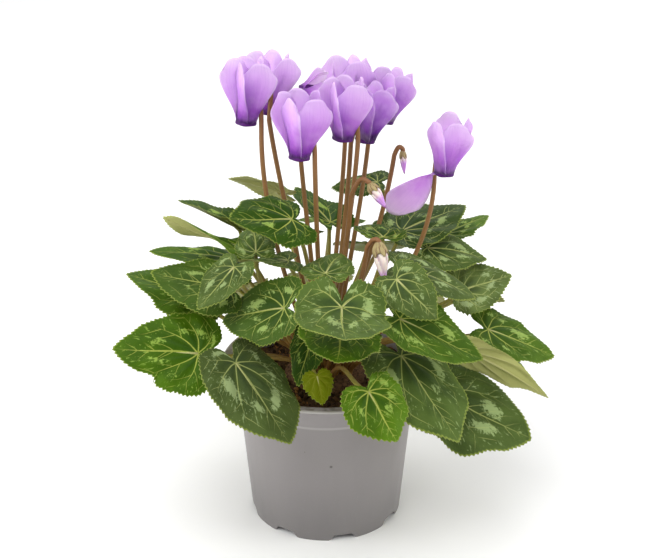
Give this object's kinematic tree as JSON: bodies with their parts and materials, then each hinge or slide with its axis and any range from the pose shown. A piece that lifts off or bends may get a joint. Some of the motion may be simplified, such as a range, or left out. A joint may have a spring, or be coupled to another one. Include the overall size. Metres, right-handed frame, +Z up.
{
  "type": "potted cyclamen plant",
  "caption": "Cyclamen with violet upswept flowers, hooked buds and a dome of marbled heart-shaped leaves, in a grey tapered nursery pot.",
  "frame": {"origin": "on the pot's axis, on the surface that the pot stands on", "axes": "+Z up along the pot's axis, -Y towards the side that the picture shows, +X to the right as seen from there"},
  "size_m": [0.2175, 0.2181, 0.2371],
  "materials": {
    "pot_plastic": "matte, slightly see-through grey plastic",
    "soil": "rough, dark and crumbly",
    "tuber_skin": "rough corky skin",
    "leaf": "soft satin",
    "petal": "velvety matte",
    "flower_stem": "soft satin",
    "bud_petal": "velvety matte"
  },
  "bodies": {
    "root": {"pot": "pot_plastic", "soil": "soil", "tuber": "tuber_skin", "leaf_01": "leaf", "leaf_02": "leaf", "leaf_03": "leaf", "leaf_04": "leaf", "leaf_05": "leaf", "leaf_06": "leaf", "leaf_07": "leaf", "leaf_08": "leaf", "leaf_09": "leaf", "leaf_11": "leaf", "leaf_12": "leaf", "leaf_13": "leaf", "leaf_14": "leaf", "leaf_15": "leaf", "leaf_16": "leaf", "leaf_17": "leaf", "leaf_19": "leaf", "leaf_21": "leaf", "leaf_23": "leaf", "leaf_24": "leaf", "leaf_25": "leaf", "leaf_26": "leaf", "leaf_27": "leaf", "leaf_29": "leaf", "leaf_30": "leaf", "leaf_32": "leaf", "leaf_33": "leaf", "leaf_34": "leaf", "leaf_35": "leaf", "leaf_36": "leaf", "leaf_37": "leaf", "leaf_38": "leaf", "leaf_43": "leaf", "flower_a": "petal", "scape_a": "flower_stem", "flower_b": "petal", "scape_b": "flower_stem", "flower_c": "petal", "scape_c": "flower_stem", "flower_d": "petal", "scape_d": "flower_stem", "flower_e": "petal", "scape_e": "flower_stem", "flower_f": "petal", "scape_f": "flower_stem", "flower_g": "petal", "scape_g": "flower_stem", "flower_h": "petal", "scape_h": "flower_stem", "flower_i": "petal", "scape_i": "flower_stem", "bud_j": "bud_petal", "bud_stalk_j": "flower_stem", "bud_k": "bud_petal", "bud_stalk_k": "flower_stem", "bud_l": "bud_petal", "bud_stalk_l": "flower_stem"}
  },
  "joints": []
}
